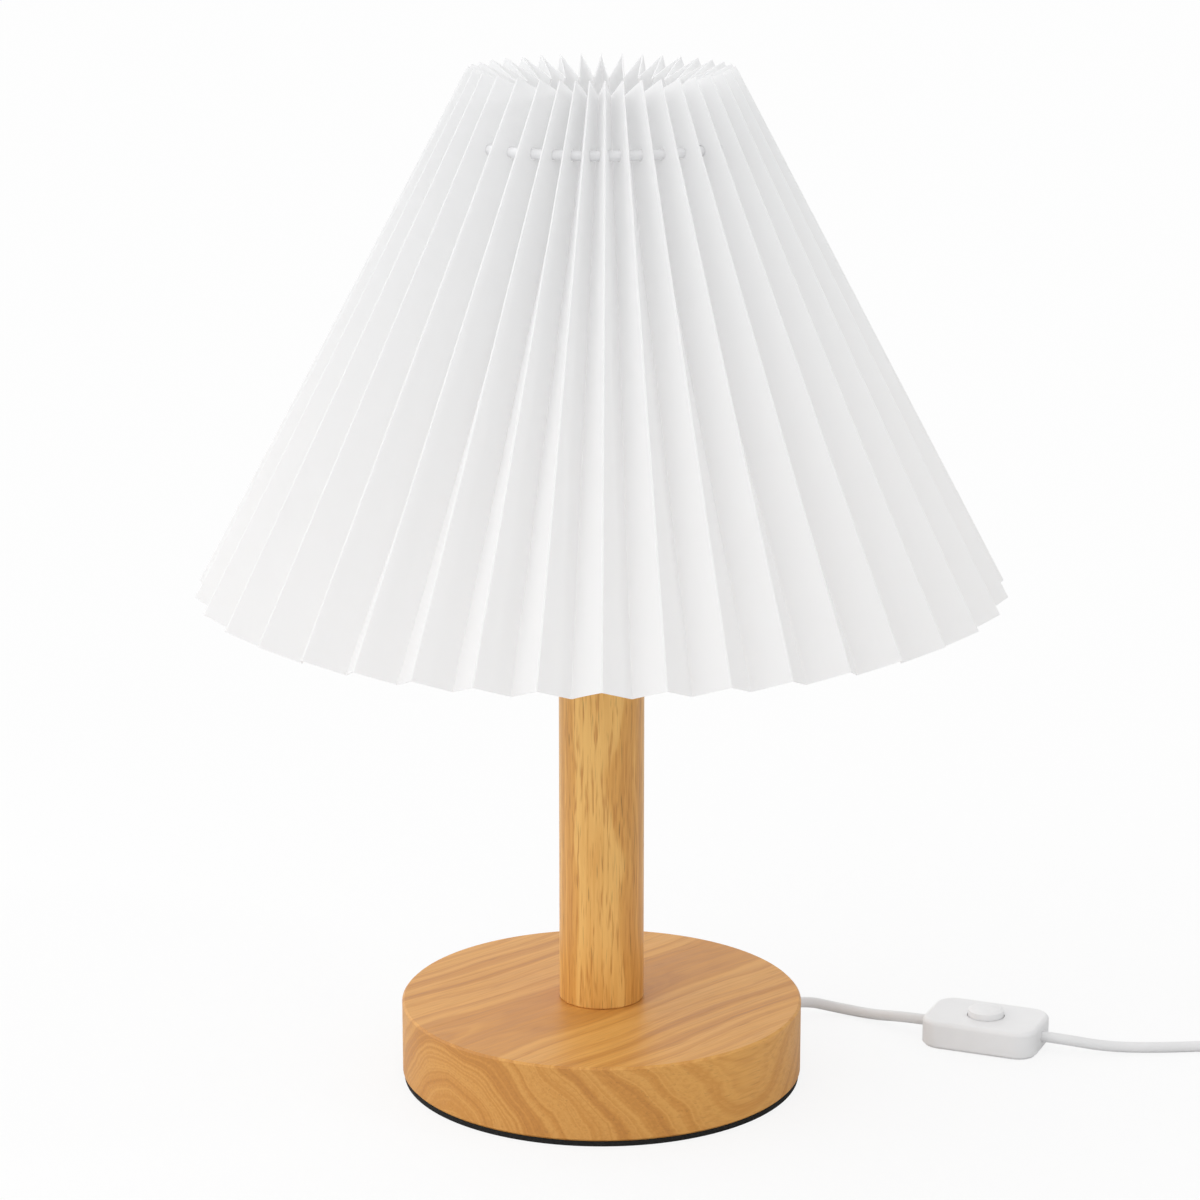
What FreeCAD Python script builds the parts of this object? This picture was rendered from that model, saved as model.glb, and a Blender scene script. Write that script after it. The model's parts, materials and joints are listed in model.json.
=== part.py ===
import FreeCAD, Part
import math
import os
from types import SimpleNamespace
import Sketcher
from FreeCAD import Placement, Rotation, Vector

# A pleated paper table lamp. +Z is up and -Y is the lamp's front. The origin lies on the floor,
# on the lamp's axis. The switch, the coil and the plug lie on the floor to the lamp's right.

document = FreeCAD.newDocument("pleated_paper_table_lamp")

SIZES = (
    # base
    ("pad_thickness", 2.0, "foam pad under the base"),
    ("pad_inset", 0.6, "pad edge inside the base edge"),
    ("base_diameter", 152.0, "turned wooden base"),
    ("base_thickness", 28.5, "base without its pad"),
    ("base_edge_chamfer", 0.8, "broken edge of the base's two rims"),
    ("pocket_diameter", 30.0, "nut pocket in the base's underside"),
    ("pocket_depth", 20.0, "nut pocket, up from the underside"),
    ("slot_width", 7.4, "lead slot from the pocket to the rim"),
    ("lead_height", 6.0, "lead's centre above the floor"),
    ("lead_bend_radius", 10.0, "lead's bend up into the rod"),
    ("lead_turn", 38.0, "lead slot, degrees from +X towards the back"),
    # post and its clamping rod
    ("post_diameter", 32.0, "wooden post"),
    ("post_height", 222.0, "wooden post"),
    ("post_edge_chamfer", 0.5, "post's two rims"),
    ("rod_play", 0.3, "gap round the rod"),
    ("rod_diameter", 10.0, "hollow clamping rod"),
    ("rod_bore", 7.6, "hollow clamping rod"),
    ("rod_below_nut", 1.0, "rod end under its lower nut"),
    ("rod_into_holder", 7.5, "rod end above the upper nut"),
    ("washer_diameter", 24.0, "washer in the base pocket"),
    ("washer_thickness", 1.5, "washer in the base pocket"),
    ("nut_width", 14.0, "hex nuts, across flats"),
    ("nut_height", 4.0, "hex nuts"),
    ("post_cap_thickness", 2.0, "metal disc on the post"),
    # lampholder
    ("cap_neck_radius", 8.5, "holder cap, threaded neck"),
    ("cap_neck_height", 5.0, "holder cap, straight neck"),
    ("holder_radius", 20.0, "holder cap and shell outside"),
    ("cap_height", 20.0, "holder cap, neck included"),
    ("cap_cone_height", 8.0, "holder cap, cone above the neck"),
    ("holder_wall", 1.8, "holder cap's wall"),
    ("insert_play", 0.3, "gap between cap and insert"),
    ("insert_height", 6.5, "contact insert in the cap"),
    ("flange_radius", 24.0, "shell's shoulder under the carrier"),
    ("flange_drop", 7.5, "cap rim to the shoulder's underside"),
    ("flange_thickness", 2.5, "shell's shoulder"),
    ("shell_thread_radius", 19.7, "shell above its shoulder"),
    ("shell_neck_height", 15.5, "shell above its shoulder"),
    ("shell_bore_radius", 15.6, "shell inside"),
    ("sleeve_wall", 0.5, "threaded contact sleeve"),
    ("sleeve_height", 21.0, "threaded contact sleeve"),
    ("clamp_ring_radius", 28.5, "clamp ring over the carrier"),
    ("clamp_ring_lip", 2.5, "clamp ring's wide rim"),
    ("clamp_ring_height", 9.5, "clamp ring"),
    ("clamp_ring_neck", 24.0, "clamp ring's upper radius"),
    ("clamp_ring_grips", 12, "finger notches in the clamp ring"),
    # shade carrier
    ("carrier_radius", 31.0, "carrier's centre plate"),
    ("carrier_thickness", 2.0, "carrier's centre plate"),
    ("carrier_rise", 69.0, "carrier plate's underside to the support ring"),
    ("arm_thickness", 1.2, "upright carrier arms"),
    ("arm_count", 3, "upright carrier arms"),
    ("arm_depth", 6.0, "arm, from its inner to its outer edge"),
    ("hook_wall_inside", 2.4, "hook's wall inside the ring"),
    ("hook_wall_outside", 1.4, "hook's wall outside the ring"),
    ("hook_play", 0.3, "gap between hook and ring"),
    # shade
    ("fold_count", 38, "mountain folds round the shade"),
    ("panel_width", 16.5, "paper between two folds"),
    ("paper_thickness", 0.35, "folded paper"),
    ("shade_top_diameter", 96.6, "over the mountain folds"),
    ("shade_bottom_diameter", 300.0, "over the mountain folds"),
    ("shade_height", 191.0, "mountain fold, measured straight up"),
    ("panel_steps", 6, "flat steps along one twisted panel"),
    ("fold_drift_once", 2.5, "degrees that folds drift, once round"),
    ("fold_drift_twice", 2.3, "degrees that folds drift, twice round"),
    ("gather_turn", 8.0, "degrees that the top rim is pushed round"),
    ("gather_place", -33.0, "degrees from the front to that push"),
    ("gather_spread", 25.0, "degrees over which it dies away"),
    ("ring_diameter", 105.0, "support ring, at its wire's centre"),
    ("ring_wire", 3.6, "support ring's wire"),
    ("ring_below_top", 25.5, "support ring under the shade's top rim"),
    ("hole_play", 0.5, "paper hole's radius over the wire's"),
    # bulb
    ("bulb_lift_off", 2.0, "bulb tip above the contact insert"),
    ("bulb_tip_height", 3.5, "insulated tip"),
    ("bulb_cap_radius", 13.2, "screw cap"),
    ("bulb_cap_height", 22.0, "screw cap"),
    ("bulb_neck_height", 15.0, "white body under the globe"),
    ("bulb_neck_radius", 17.5, "white body at the globe"),
    ("globe_diameter", 45.0, "bulb's globe"),
    # cord and its grommet
    ("cord_diameter", 4.2, "white round cord"),
    ("grommet_length", 20.0, "strain relief at the base"),
    ("grommet_outside", 8.0, "strain relief outside the rim"),
    ("grommet_tip_radius", 2.8, "strain relief's thin end"),
    # inline switch
    ("switch_x", 150.3, "switch centre"),
    ("switch_y", 30.5, "switch centre"),
    ("switch_turn", -22.5, "switch axis, degrees from +X"),
    ("switch_length", 46.0, "switch body"),
    ("switch_width", 31.0, "switch body"),
    ("switch_height", 11.0, "switch body"),
    ("switch_corner", 8.0, "switch body's upright corners"),
    ("switch_round", 1.8, "switch body's top rim"),
    ("switch_wall", 1.8, "switch body's wall"),
    ("switch_foot", 1.0, "foot plate under the body"),
    ("switch_foot_inset", 1.0, "foot plate's edge inside the body's"),
    ("switch_tray", 1.5, "foot plate's raised middle"),
    ("switch_fit", 0.2, "gap round the raised middle"),
    ("switch_lead_height", 5.5, "cord's centre in the switch"),
    ("button_diameter", 14.0, "round push button"),
    ("button_rise", 2.4, "button's rim above the body"),
    ("button_dome", 1.0, "dome above the button's rim"),
    ("button_play", 0.3, "gap round the button"),
    ("button_flange", 1.0, "button's flange beyond its side"),
    ("button_flange_height", 1.2, "button's flange"),
    ("boss_radius", 2.6, "screw boss in the body"),
    ("screw_radius", 1.2, "switch screws"),
    ("screw_head_radius", 2.2, "switch screws"),
    ("boss_along", 16.0, "screw from the centre, along the axis"),
    ("boss_across", 9.0, "screw from the centre, across"),
    # plug
    ("plug_x", 355.0, "middle of the plug's pin face"),
    ("plug_y", 122.0, "middle of the plug's pin face"),
    ("plug_turn", 75.0, "way that the pins point, degrees from +X"),
    ("plug_width", 35.0, "plug body at its pins"),
    ("plug_thickness", 13.7, "plug body"),
    ("plug_length", 26.0, "plug body"),
    ("plug_rear_width", 13.0, "plug body at the cord"),
    ("plug_relief_length", 20.0, "tapered relief behind the body"),
    ("plug_edge_round", 1.5, "plug body's long edges"),
    ("pin_diameter", 4.0, "plug pins"),
    ("pin_length", 19.0, "plug pins"),
    ("pin_spacing", 18.6, "plug pins"),
    # put-away coil
    ("coil_x", 279.0, "coil centre"),
    ("coil_y", 57.0, "coil centre"),
    ("coil_start", -78.0, "degrees at which the coil starts"),
    ("coil_outer_radius", 29.0, "outermost turn, at the cord's centre"),
    ("coil_step", 4.8, "turn to turn, and layer to layer"),
    ("coil_turns", 2.375, "turns in one layer before it reverses"),
    ("coil_layers", 4, "layers of turns"),
)


class Size:
    """A number of the sheet, or one worked out from it, that knows its own expression."""

    def __init__(self, value, text):
        self.value = value
        self.text = text

    def __add__(self, other):
        other = as_size(other)
        return Size(self.value + other.value, f"({self.text} + {other.text})")

    def __radd__(self, other):
        return as_size(other) + self

    def __sub__(self, other):
        other = as_size(other)
        return Size(self.value - other.value, f"({self.text} - {other.text})")

    def __rsub__(self, other):
        return as_size(other) - self

    def __mul__(self, other):
        other = as_size(other)
        return Size(self.value * other.value, f"({self.text} * {other.text})")

    def __rmul__(self, other):
        return as_size(other) * self

    def __truediv__(self, other):
        other = as_size(other)
        return Size(self.value / other.value, f"({self.text} / {other.text})")

    def __neg__(self):
        return Size(-self.value, f"(0 - {self.text})")


def as_size(number):
    if isinstance(number, Size):
        return number
    return Size(float(number), f"{float(number):.6g}")


def fill_sheet():
    """Writes the driving sizes into the sheet and reads them back as Size values."""
    sheet = document.addObject("Spreadsheet::Sheet", "Sizes")
    for row, (alias, number, note) in enumerate(SIZES, start=1):
        sheet.set(f"A{row}", note)
        sheet.set(f"B{row}", str(number))
        sheet.setAlias(f"B{row}", alias)
    document.recompute()
    return SimpleNamespace(**{a: Size(float(sheet.get(a)), f"Sizes.{a}") for a, _, _ in SIZES})


s = fill_sheet()

# Heights of the stack, from the floor up.
base_bottom = s.pad_thickness
base_top = base_bottom + s.base_thickness
pocket_top = base_bottom + s.pocket_depth
washer_bottom = pocket_top - s.washer_thickness
nut_bottom = washer_bottom - s.nut_height
rod_bottom = nut_bottom - s.rod_below_nut
post_top = base_top + s.post_height
upper_nut_bottom = post_top + s.post_cap_thickness
holder_bottom = upper_nut_bottom + s.nut_height
rod_top = holder_bottom + s.rod_into_holder
cap_top = holder_bottom + s.cap_height
flange_bottom = cap_top + s.flange_drop
flange_top = flange_bottom + s.flange_thickness
shell_top = flange_top + s.shell_neck_height
insert_top = cap_top - s.insert_play
carrier_top = flange_top + s.carrier_thickness
clamp_ring_top = carrier_top + s.clamp_ring_height
ring_height = flange_top + s.carrier_rise
shade_top = ring_height + s.ring_below_top
shade_bottom = shade_top - s.shade_height
bulb_tip_bottom = insert_top + s.bulb_lift_off
bulb_cap_bottom = bulb_tip_bottom + s.bulb_tip_height
bulb_cap_top = bulb_cap_bottom + s.bulb_cap_height
bulb_neck_top = bulb_cap_top + s.bulb_neck_height

base_radius = s.base_diameter / 2
rod_radius = s.rod_diameter / 2
rod_hole_radius = rod_radius + s.rod_play
ring_radius = s.ring_diameter / 2
wire_radius = s.ring_wire / 2
cord_radius = s.cord_diameter / 2

# Sides of the polygons that stand for round sections where the form repeats many times.
HOLE_SIDES = 6
COIL_SIDES = 6
CORD_SIDES = 8
RING_SIDES = 8
GLOBE_BANDS = 6

parts = []


def keep(piece, label, placement=Placement()):
    """Names a finished sub-part and lists it for writing."""
    piece.Label = label
    piece.Placement = placement
    parts.append(piece)
    return piece


def new_body(label, placement=Placement()):
    body = document.addObject("PartDesign::Body", label + "_body")
    return keep(body, label, placement)


def turned(x, y, degrees):
    """Where a piece lies that is laid on the floor at x, y and turned about the upright."""
    return Placement(Vector(x.value, y.value, 0), Rotation(Vector(0, 0, 1), degrees.value))


def hold_point(sketch, index, place, axis_name, axis_line):
    """Ties one coordinate of a line's first point to an expression."""
    if abs(place.value) < 1e-9:
        sketch.addConstraint(Sketcher.Constraint("PointOnObject", index, 1, axis_line))
        return
    ends = (-1, 1, index, 1) if place.value > 0 else (index, 1, -1, 1)
    number = sketch.addConstraint(Sketcher.Constraint(axis_name, *ends, abs(place.value)))
    positive = place if place.value > 0 else -place
    sketch.setExpression(f"Constraints[{number}]", positive.text)


def sketch_on(body, role):
    sketch = body.newObject("Sketcher::SketchObject", "sketch")
    plane = next(f for f in body.Origin.OriginFeatures if f.Role == role)
    sketch.AttachmentSupport = [(plane, "")]
    sketch.MapMode = "FlatFace"
    return sketch


def outline(body, role, corners):
    """A closed outline of straight lines whose corners follow the sheet."""
    sketch = sketch_on(body, role)
    corners = [(as_size(x), as_size(y)) for x, y in corners]
    spots = [Vector(x.value, y.value, 0) for x, y in corners]
    for start, end in zip(spots, spots[1:] + spots[:1]):
        sketch.addGeometry(Part.LineSegment(start, end))
    for index in range(len(spots)):
        following = (index + 1) % len(spots)
        sketch.addConstraint(Sketcher.Constraint("Coincident", index, 2, following, 1))
    for index, (x, y) in enumerate(corners):
        hold_point(sketch, index, x, "DistanceX", -2)
        hold_point(sketch, index, y, "DistanceY", -1)
    return sketch


def circles(body, role, discs):
    """Circles, each given as x, y and radius."""
    sketch = sketch_on(body, role)
    for index, (x, y, radius) in enumerate(discs):
        x, y, radius = as_size(x), as_size(y), as_size(radius)
        centre = Vector(x.value, y.value, 0)
        sketch.addGeometry(Part.Circle(centre, Vector(0, 0, 1), radius.value))
        number = sketch.addConstraint(Sketcher.Constraint("Radius", index, radius.value))
        sketch.setExpression(f"Constraints[{number}]", radius.text)
        for place, axis_name, axis_line in ((x, "DistanceX", -2), (y, "DistanceY", -1)):
            if abs(place.value) < 1e-9:
                sketch.addConstraint(Sketcher.Constraint("PointOnObject", index, 3, axis_line))
                continue
            ends = (-1, 1, index, 3) if place.value > 0 else (index, 3, -1, 1)
            number = sketch.addConstraint(Sketcher.Constraint(axis_name, *ends, abs(place.value)))
            positive = place if place.value > 0 else -place
            sketch.setExpression(f"Constraints[{number}]", positive.text)
    return sketch


def turn(body, corners, kind="PartDesign::Revolution"):
    """A solid, or a cut, turned about the upright from corners given as radius and height."""
    sketch = outline(body, "XZ_Plane", corners)
    feature = body.newObject(kind, "turning")
    feature.Profile = sketch
    feature.ReferenceAxis = (sketch, ["V_Axis"])
    feature.Angle = 360.0
    document.recompute()
    return feature


def turn_along(body, corners, kind="PartDesign::Revolution"):
    """The same, turned about the body's own X axis, from corners given as place and radius."""
    sketch = outline(body, "XY_Plane", corners)
    feature = body.newObject(kind, "turning")
    feature.Profile = sketch
    feature.ReferenceAxis = (sketch, ["H_Axis"])
    feature.Angle = 360.0
    document.recompute()
    return feature


def raise_from(body, sketch, bottom, height, kind="PartDesign::Pad", backwards=False):
    """Pads or pockets a sketch over a height, from its own distance along the plane's normal."""
    sketch.setExpression(".AttachmentOffset.Base.z", as_size(bottom).text)
    feature = body.newObject(kind, "raising")
    feature.Profile = sketch
    feature.setExpression("Length", as_size(height).text)
    feature.Reversed = backwards
    document.recompute()
    return feature


def soften(body, kind, amount, chosen):
    """Rounds or bevels those edges of the body's tip that the test chooses."""
    base = body.Tip
    names = [f"Edge{number}" for number, edge in enumerate(base.Shape.Edges, start=1)
             if chosen(edge)]
    feature = body.newObject(kind, "softening")
    feature.Base = (base, names)
    feature.setExpression("Radius" if kind.endswith("Fillet") else "Size", as_size(amount).text)
    document.recompute()
    return feature


def is_rim(radius, height):
    """Chooses a level circle of this radius at this height."""
    def chosen(edge):
        curve = edge.Curve
        return (isinstance(curve, Part.Circle) and abs(curve.Radius - radius.value) < 1e-4
                and abs(curve.Center.z - height.value) < 1e-4)
    return chosen


def is_upright(edge):
    """Chooses a straight edge that runs up and down."""
    return isinstance(edge.Curve, Part.Line) and abs(edge.tangentAt(edge.FirstParameter).z) > 0.99


def rectangle(half_length, half_width):
    return ((half_length, -half_width), (half_length, half_width),
            (-half_length, half_width), (-half_length, -half_width))


def cornered(half_length, half_width, corner):
    """A rectangle whose corners are cut off where a round of this radius would bulge most."""
    cut = corner * (2 - math.sqrt(2))
    return ((half_length, -(half_width - cut)), (half_length, half_width - cut),
            (half_length - cut, half_width), (-(half_length - cut), half_width),
            (-half_length, half_width - cut), (-half_length, -(half_width - cut)),
            (-(half_length - cut), -half_width), (half_length - cut, -half_width))


def cut_through(body, before, feature):
    """Makes sure that a cut has taken something away."""
    if feature.Shape.Volume >= before - 1e-6:
        raise RuntimeError(f"{body.Label}: a cut removes nothing")


# ---------------------------------------------------------------- base and post

slot_turn = Placement(Vector(), Rotation(Vector(0, 0, 1), s.lead_turn.value))


def make_base():
    pad = new_body("base_pad")
    turn(pad, ((0, 0), (base_radius - s.pad_inset, 0),
               (base_radius - s.pad_inset, s.pad_thickness), (0, s.pad_thickness)))
    disc = new_body("base_disc", slot_turn)
    pocket_radius = s.pocket_diameter / 2
    turn(disc, ((pocket_radius, base_bottom), (base_radius, base_bottom), (base_radius, base_top),
                (rod_hole_radius, base_top), (rod_hole_radius, pocket_top),
                (pocket_radius, pocket_top)))
    for height in (base_bottom, base_top):
        soften(disc, "PartDesign::Chamfer", s.base_edge_chamfer, is_rim(base_radius, height))
    before = disc.Tip.Shape.Volume
    slot_top = s.lead_height + s.slot_width / 2
    slot = outline(disc, "YZ_Plane", ((s.slot_width / 2, base_bottom - 1),
                                      (s.slot_width / 2, slot_top),
                                      (-s.slot_width / 2, slot_top),
                                      (-s.slot_width / 2, base_bottom - 1)))
    cut = raise_from(disc, slot, 0, base_radius + 1, "PartDesign::Pocket", True)
    cut_through(disc, before, cut)


def make_post():
    post = new_body("post")
    post_radius = s.post_diameter / 2
    turn(post, ((rod_hole_radius, base_top), (post_radius, base_top),
                (post_radius, post_top), (rod_hole_radius, post_top)))
    for height in (base_top, post_top):
        soften(post, "PartDesign::Chamfer", s.post_edge_chamfer, is_rim(post_radius, height))


def make_rod():
    rod = new_body("clamp_rod")
    turn(rod, ((s.rod_bore / 2, rod_bottom), (rod_radius, rod_bottom),
               (rod_radius, rod_top), (s.rod_bore / 2, rod_top)))
    washer = new_body("base_washer")
    turn(washer, ((rod_hole_radius, washer_bottom), (s.washer_diameter / 2, washer_bottom),
                  (s.washer_diameter / 2, pocket_top), (rod_hole_radius, pocket_top)))
    cap = new_body("post_cap")
    turn(cap, ((rod_hole_radius, post_top), (s.post_diameter / 2, post_top),
               (s.post_diameter / 2, upper_nut_bottom), (rod_hole_radius, upper_nut_bottom)))
    for label, bottom in (("base_nut", nut_bottom), ("post_nut", upper_nut_bottom)):
        nut = new_body(label)
        half = s.nut_width / 2
        side = s.nut_width / 2 / math.cos(math.radians(30))
        raise_from(nut, outline(nut, "XY_Plane", (
            (side, 0), (side / 2, half), (-side / 2, half),
            (-side, 0), (-side / 2, -half), (side / 2, -half))), bottom, s.nut_height)
        before = nut.Tip.Shape.Volume
        bore = circles(nut, "XY_Plane", ((0, 0, rod_radius + 0.05),))
        cut = raise_from(nut, bore, bottom, s.nut_height, "PartDesign::Pocket", True)
        cut_through(nut, before, cut)


# ---------------------------------------------------------------- lampholder

def make_holder():
    neck_top = holder_bottom + s.cap_neck_height
    cone_top = neck_top + s.cap_cone_height
    inner_floor = cone_top
    inner_radius = s.holder_radius - s.holder_wall
    cap = new_body("holder_cap")
    turn(cap, ((rod_radius + 0.1, holder_bottom), (s.cap_neck_radius, holder_bottom),
               (s.cap_neck_radius, neck_top), (s.holder_radius, cone_top),
               (s.holder_radius, cap_top), (inner_radius, cap_top),
               (inner_radius, inner_floor), (rod_radius + 0.1, inner_floor)))
    shell = new_body("holder_shell")
    turn(shell, ((s.shell_bore_radius, cap_top), (s.holder_radius, cap_top),
                 (s.holder_radius, flange_bottom), (s.flange_radius, flange_bottom),
                 (s.flange_radius, flange_top), (s.shell_thread_radius, flange_top),
                 (s.shell_thread_radius, shell_top), (s.shell_bore_radius, shell_top)))
    insert = new_body("contact_insert")
    insert_radius = inner_radius - s.insert_play
    insert_bottom = insert_top - s.insert_height
    turn(insert, ((0, insert_bottom), (insert_radius, insert_bottom),
                  (insert_radius, insert_top), (0, insert_top)))
    sleeve = new_body("contact_sleeve")
    sleeve_outer = s.shell_bore_radius - 0.3
    sleeve_inner = sleeve_outer - s.sleeve_wall
    turn(sleeve, ((sleeve_inner, insert_top), (sleeve_outer, insert_top),
                  (sleeve_outer, insert_top + s.sleeve_height),
                  (sleeve_inner, insert_top + s.sleeve_height)))
    tongue = new_body("centre_contact")
    tongue_rise = s.bulb_lift_off - 0.3
    raise_from(tongue, outline(tongue, "XZ_Plane", (
        (-9, insert_top), (2, insert_top + tongue_rise - 0.5), (3, insert_top + tongue_rise - 0.5),
        (3, insert_top + tongue_rise), (2, insert_top + tongue_rise), (-9, insert_top + 0.5),
        (-12, insert_top + 0.5), (-12, insert_top))), -2.5, 5)


def make_clamp_ring():
    ring = new_body("clamp_ring")
    bore = s.shell_thread_radius + 0.2
    lip_top = carrier_top + s.clamp_ring_lip
    turn(ring, ((bore, carrier_top), (s.clamp_ring_radius, carrier_top),
                (s.clamp_ring_radius, lip_top), (s.clamp_ring_neck, lip_top + 1.5),
                (s.clamp_ring_neck, clamp_ring_top), (bore, clamp_ring_top)))
    before = ring.Tip.Shape.Volume
    notch = circles(ring, "XY_Plane", ((s.clamp_ring_radius + 0.8, 0, 2),))
    cut = raise_from(ring, notch, carrier_top, s.clamp_ring_height, "PartDesign::Pocket", True)
    cut_through(ring, before, cut)
    pattern = ring.newObject("PartDesign::PolarPattern", "grips")
    pattern.Originals = [cut]
    pattern.Axis = (notch, ["N_Axis"])
    pattern.Angle = 360
    pattern.setExpression("Occurrences", s.clamp_ring_grips.text)
    ring.Tip = pattern
    document.recompute()


# ---------------------------------------------------------------- pleated shade

fold_total = 2 * int(round(s.fold_count.value))
half_pitch = math.pi / s.fold_count.value
top_radius = s.shade_top_diameter.value / 2
bottom_radius = s.shade_bottom_diameter.value / 2
slope = math.atan2(bottom_radius - top_radius, s.shade_height.value)


def valley_end(mountain_radius, height):
    """Radius and height of a valley fold's end. The strip is cut square to its folds."""
    across = mountain_radius * math.sin(half_pitch)
    inward = math.sqrt(s.panel_width.value ** 2 - across ** 2)
    radius = mountain_radius * math.cos(half_pitch) - inward * math.cos(slope)
    return radius, height - inward * math.sin(slope)


mountain_ends = ((bottom_radius, shade_bottom.value), (top_radius, shade_top.value))
valley_ends = (valley_end(*mountain_ends[0]), valley_end(*mountain_ends[1]))


def fold_turn(fold, at_top):
    """Angle of a fold's end, from the lamp's front. Folded by hand, the pleats are uneven."""
    even = 360.0 / fold_total * fold
    turn_round = (even - s.fold_drift_once.value * math.sin(math.radians(even))
                  - s.fold_drift_twice.value * math.sin(math.radians(2 * even)))
    if at_top:
        away = (even - s.gather_place.value + 180) % 360 - 180
        turn_round += s.gather_turn.value * math.exp(-(away / s.gather_spread.value) ** 2)
    return math.radians(turn_round)


def on_circle(radius, angle, height):
    return Vector(radius * math.sin(angle), -radius * math.cos(angle), height)


def fold_point(fold, share):
    """A point on a fold: even folds are mountains and odd ones valleys. Share 1 is the top rim."""
    low, high = mountain_ends if fold % 2 == 0 else valley_ends
    bottom = on_circle(low[0], fold_turn(fold, False), low[1])
    top = on_circle(high[0], fold_turn(fold, True), high[1])
    return bottom + (top - bottom) * share


def fold_at_height(fold, height):
    bottom, top = fold_point(fold, 0), fold_point(fold, 1)
    return bottom + (top - bottom) * ((height - bottom.z) / (top.z - bottom.z))


def paper_row(share, side):
    """One row of paper corners, half the paper's thickness outside or inside the folds."""
    row = []
    for fold in range(fold_total):
        along = fold_point(fold, 1) - fold_point(fold, 0)
        here = fold_point(fold, share)
        before = here - fold_point((fold - 1) % fold_total, share)
        after = fold_point((fold + 1) % fold_total, share) - here
        normals = [across.cross(along).normalize() for across in (before, after)]
        middle = (normals[0] + normals[1]).normalize()
        shift = side * s.paper_thickness.value / 2 / middle.dot(normals[0])
        row.append(here + middle * shift)
    return row


def paper_faces():
    steps = int(round(s.panel_steps.value))
    outside = [paper_row(step / steps, 1) for step in range(steps + 1)]
    inside = [paper_row(step / steps, -1) for step in range(steps + 1)]
    faces = []

    def flat(*corners):
        faces.append(Part.Face(Part.makePolygon(list(corners) + [corners[0]])))

    for fold in range(fold_total):
        after = (fold + 1) % fold_total
        for step in range(steps):
            for rows, this, other in ((outside, fold, after), (inside, after, fold)):
                low, high = rows[step], rows[step + 1]
                if (fold % 2 == 0) == (rows is outside):
                    flat(low[this], low[other], high[this])
                    flat(low[other], high[other], high[this])
                else:
                    flat(low[this], low[other], high[other])
                    flat(low[this], high[other], high[this])
        for outer, inner in ((outside[0], inside[0]), (inside[-1], outside[-1])):
            flat(inner[fold], inner[after], outer[after])
            flat(inner[fold], outer[after], outer[fold])
    return faces


def punched_hole(fold):
    """The hole through which the ring passes one panel, square to the paper."""
    one = fold_at_height(fold, ring_height.value)
    two = fold_at_height(fold + 1, ring_height.value)
    valley, mountain = (two, one) if fold % 2 == 0 else (one, two)
    low, high = 0.0, 1.0
    for _ in range(40):
        middle = (low + high) / 2
        spot = valley + (mountain - valley) * middle
        if math.hypot(spot.x, spot.y) < ring_radius.value:
            low = middle
        else:
            high = middle
    along = fold_point(fold, 1) - fold_point(fold, 0)
    normal = (two - one).cross(along).normalize()
    reach = 3 * s.paper_thickness.value
    radius = (wire_radius.value + s.hole_play.value) / math.cos(math.pi / HOLE_SIDES)
    across = normal.cross(along).normalize()
    corners = []
    for side in range(HOLE_SIDES):
        angle = 2 * math.pi * side / HOLE_SIDES
        corner = along.normalize() * math.cos(angle) + across * math.sin(angle)
        corners.append(spot - normal * reach + corner * radius)
    punch = Part.Face(Part.makePolygon(corners + [corners[0]]))
    return punch.extrude(normal * (2 * reach))


def make_paper():
    shell = Part.makeShell(paper_faces())
    solid = Part.makeSolid(shell)
    if solid.Volume < 0:
        solid.reverse()
    holes = Part.makeCompound([punched_hole(fold) for fold in range(fold_total)])
    paper = document.addObject("Part::Feature", "paper")
    paper.Shape = solid.cut(holes)
    keep(paper, "shade_paper")


def make_support_ring():
    """The white wire ring, threaded through the holes of the folded paper."""
    ring = new_body("support_ring")
    corner_radius = wire_radius / math.cos(math.pi / RING_SIDES)
    corners = []
    for side in range(RING_SIDES):
        angle = 2 * math.pi * (side + 0.5) / RING_SIDES
        corners.append((ring_radius + corner_radius * math.cos(angle),
                        ring_height + corner_radius * math.sin(angle)))
    turn(ring, corners)


def hook_folds():
    """The mountain folds in which the carrier's hooks stand."""
    count = int(round(s.arm_count.value))
    return [2 * int(round(s.fold_count.value * (number / count + 0.125))) for number in range(count)]


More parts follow.
